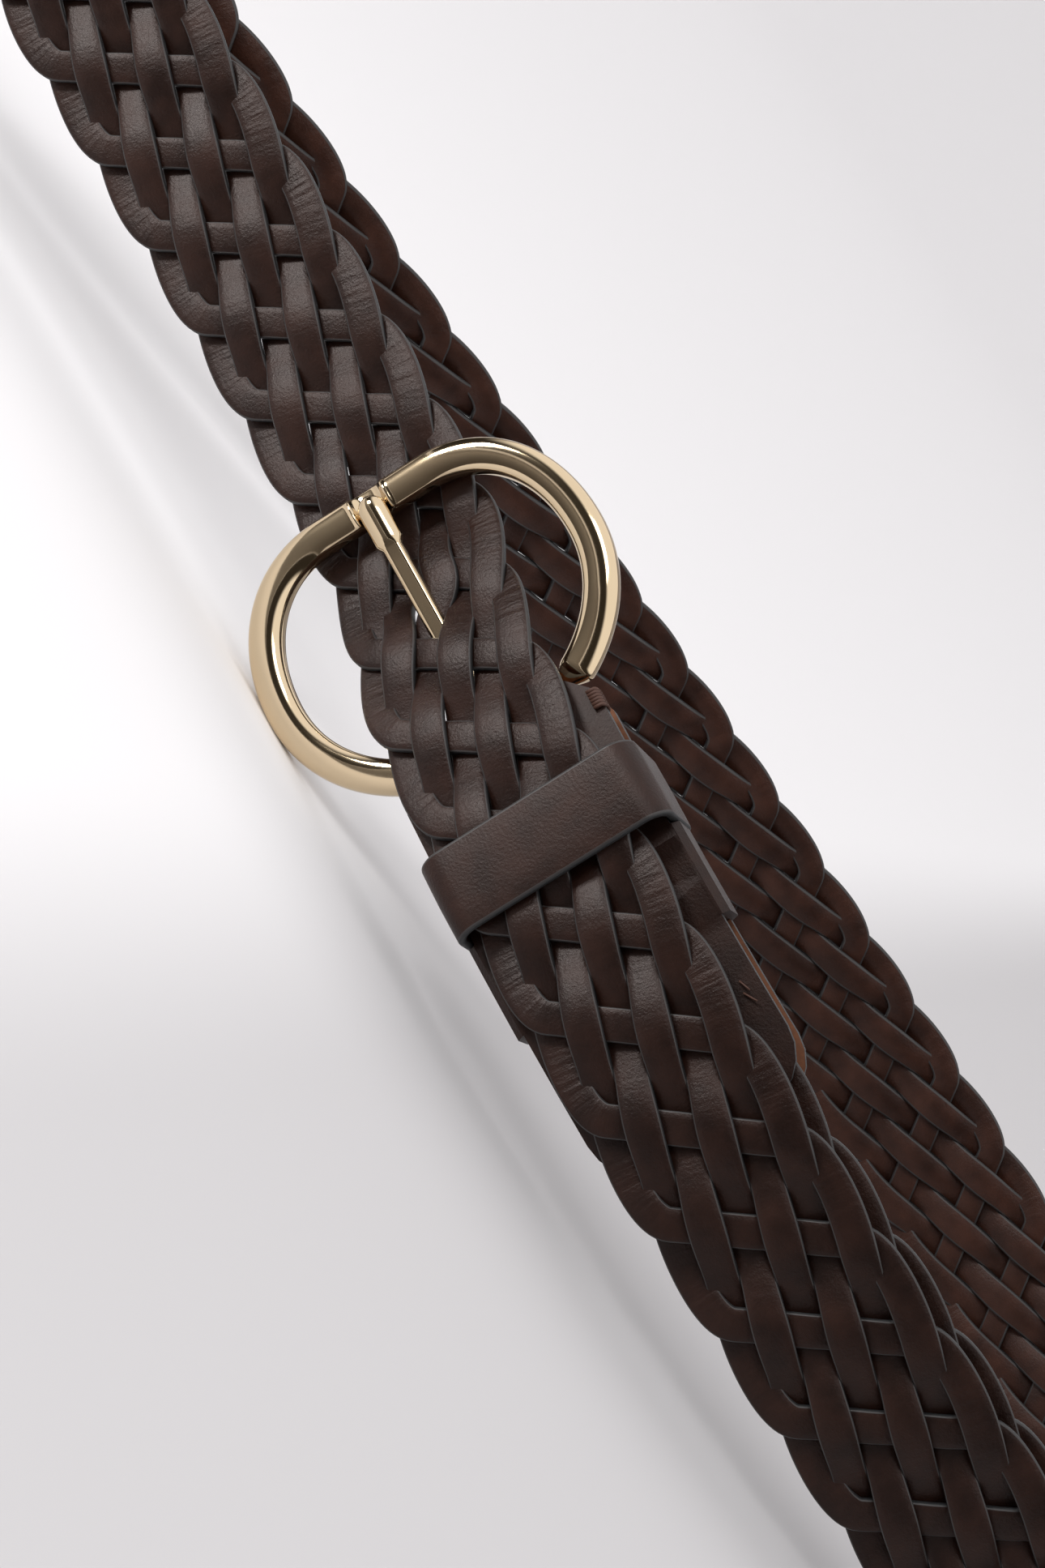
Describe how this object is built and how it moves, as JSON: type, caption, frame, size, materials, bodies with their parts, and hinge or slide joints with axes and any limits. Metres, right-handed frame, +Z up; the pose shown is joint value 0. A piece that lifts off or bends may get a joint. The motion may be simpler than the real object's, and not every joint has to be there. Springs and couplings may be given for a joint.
{
  "type": "braided belt",
  "caption": "Flat belt braided from leather strands, buckled into a closed loop with an oval metal pin buckle, a folded leather end tab and a keeper loop; it holds clothes at the waist.",
  "frame": {"origin": "middle of the outline box, at the level of the surface that the belt stands on", "axes": "+Z up, along the strap's width; +X from the narrow bend past the buckle towards the free end's side, the loop's longest way; -Y out of the buckle's front"},
  "size_m": [0.397, 0.2636, 0.0654],
  "materials": {
    "braid_leather": "semi-gloss, smooth grain, painted edges",
    "tab_leather": "semi-gloss, smooth grain, grey painted edges",
    "keeper_leather": "semi-gloss, fine grain, grey painted edges",
    "tip_leather": "semi-gloss, smooth grain",
    "frame_metal": "polished pale gold plating",
    "tongue_metal": "polished pale gold plating"
  },
  "bodies": {
    "root": {"braided_strap": "braid_leather", "buckle_frame": "frame_metal", "buckle_tongue": "tongue_metal", "end_tab": "tab_leather", "keeper_loop": "keeper_leather", "tip_cover": "tip_leather"}
  },
  "joints": []
}
